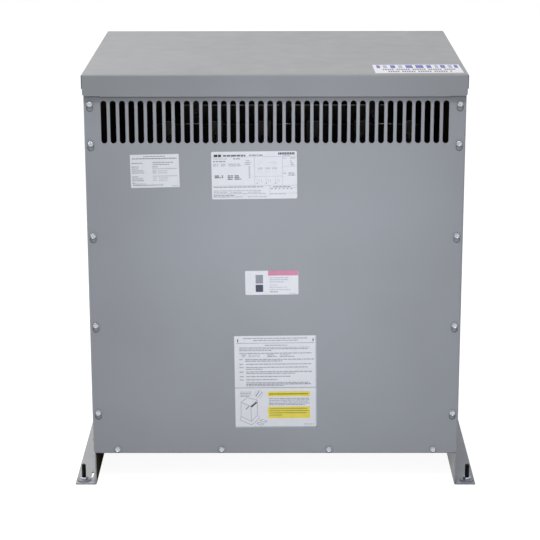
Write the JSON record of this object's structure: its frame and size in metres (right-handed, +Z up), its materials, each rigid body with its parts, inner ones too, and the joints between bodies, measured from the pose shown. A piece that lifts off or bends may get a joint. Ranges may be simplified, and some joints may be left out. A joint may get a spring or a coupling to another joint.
{
  "type": "dry-type transformer",
  "caption": "Floor-standing dry-type transformer: grey folded-steel enclosure with vent slots, screwed covers and flanged feet, core and coils inside.",
  "frame": {"origin": "on the floor under the middle of the body", "axes": "+Z up, front cover faces -Y, +X to the right seen from the front"},
  "size_m": [0.871, 0.621, 0.9025],
  "materials": {
    "enclosure_paint": "light grey polyester powder coat, satin",
    "zinc_plate": "bright zinc plate",
    "black_stud": "black oxide",
    "pad_rubber": "moulded neoprene",
    "core_steel": "oxide-coated electrical steel under varnish",
    "frame_enamel": "black enamel, half gloss",
    "winding_varnish": "dark brown polyester varnish over paper wrap",
    "insulation_board": "dark brown phenolic laminate",
    "tinned_bar": "tin-plated bar, gone dull"
  },
  "bodies": {
    "root": {"roof_cover": "enclosure_paint", "front_cover": "enclosure_paint", "rear_cover": "enclosure_paint", "side_panel_left": "enclosure_paint", "side_panel_right": "enclosure_paint", "top_rail_front": "enclosure_paint", "top_rail_rear": "enclosure_paint", "sill_front": "enclosure_paint", "sill_rear": "enclosure_paint", "front_cover_screws": "zinc_plate", "rear_cover_screws": "zinc_plate", "cover_weld_nuts": "zinc_plate", "cover_side_screws": "enclosure_paint", "roof_nuts": "zinc_plate", "foot_studs": "black_stud", "foot_washers": "zinc_plate", "foot_nuts": "zinc_plate", "base_channel_front": "enclosure_paint", "base_channel_rear": "enclosure_paint", "base_bolts": "zinc_plate", "base_nuts": "zinc_plate", "isolation_pads": "pad_rubber", "pad_bolts": "zinc_plate", "pad_nuts": "zinc_plate", "core_legs": "core_steel", "top_yoke": "core_steel", "lower_clamp_front": "frame_enamel", "lower_clamp_rear": "frame_enamel", "upper_clamp_front": "frame_enamel", "upper_clamp_rear": "frame_enamel", "yoke_bolts": "zinc_plate", "yoke_nuts": "zinc_plate", "tie_rods": "zinc_plate", "tie_rod_nuts": "zinc_plate", "coil_formers": "insulation_board", "low_voltage_winding_a": "winding_varnish", "low_voltage_winding_b": "winding_varnish", "low_voltage_winding_c": "winding_varnish", "high_voltage_winding_a": "winding_varnish", "high_voltage_winding_b": "winding_varnish", "high_voltage_winding_c": "winding_varnish", "duct_sticks": "insulation_board", "lower_coil_blocks": "insulation_board", "upper_coil_blocks": "insulation_board", "phase_barriers": "insulation_board", "terminal_board": "insulation_board", "board_brackets": "zinc_plate", "low_voltage_bars": "tinned_bar", "high_voltage_bars": "tinned_bar", "terminal_bolts": "zinc_plate", "terminal_nuts": "zinc_plate", "tap_boards": "insulation_board", "tap_studs": "zinc_plate", "tap_links": "tinned_bar", "delta_leads": "tinned_bar", "neutral_leads": "tinned_bar", "neutral_bar": "tinned_bar", "ground_strap": "tinned_bar", "ground_strap_bolts": "zinc_plate"}
  },
  "joints": []
}
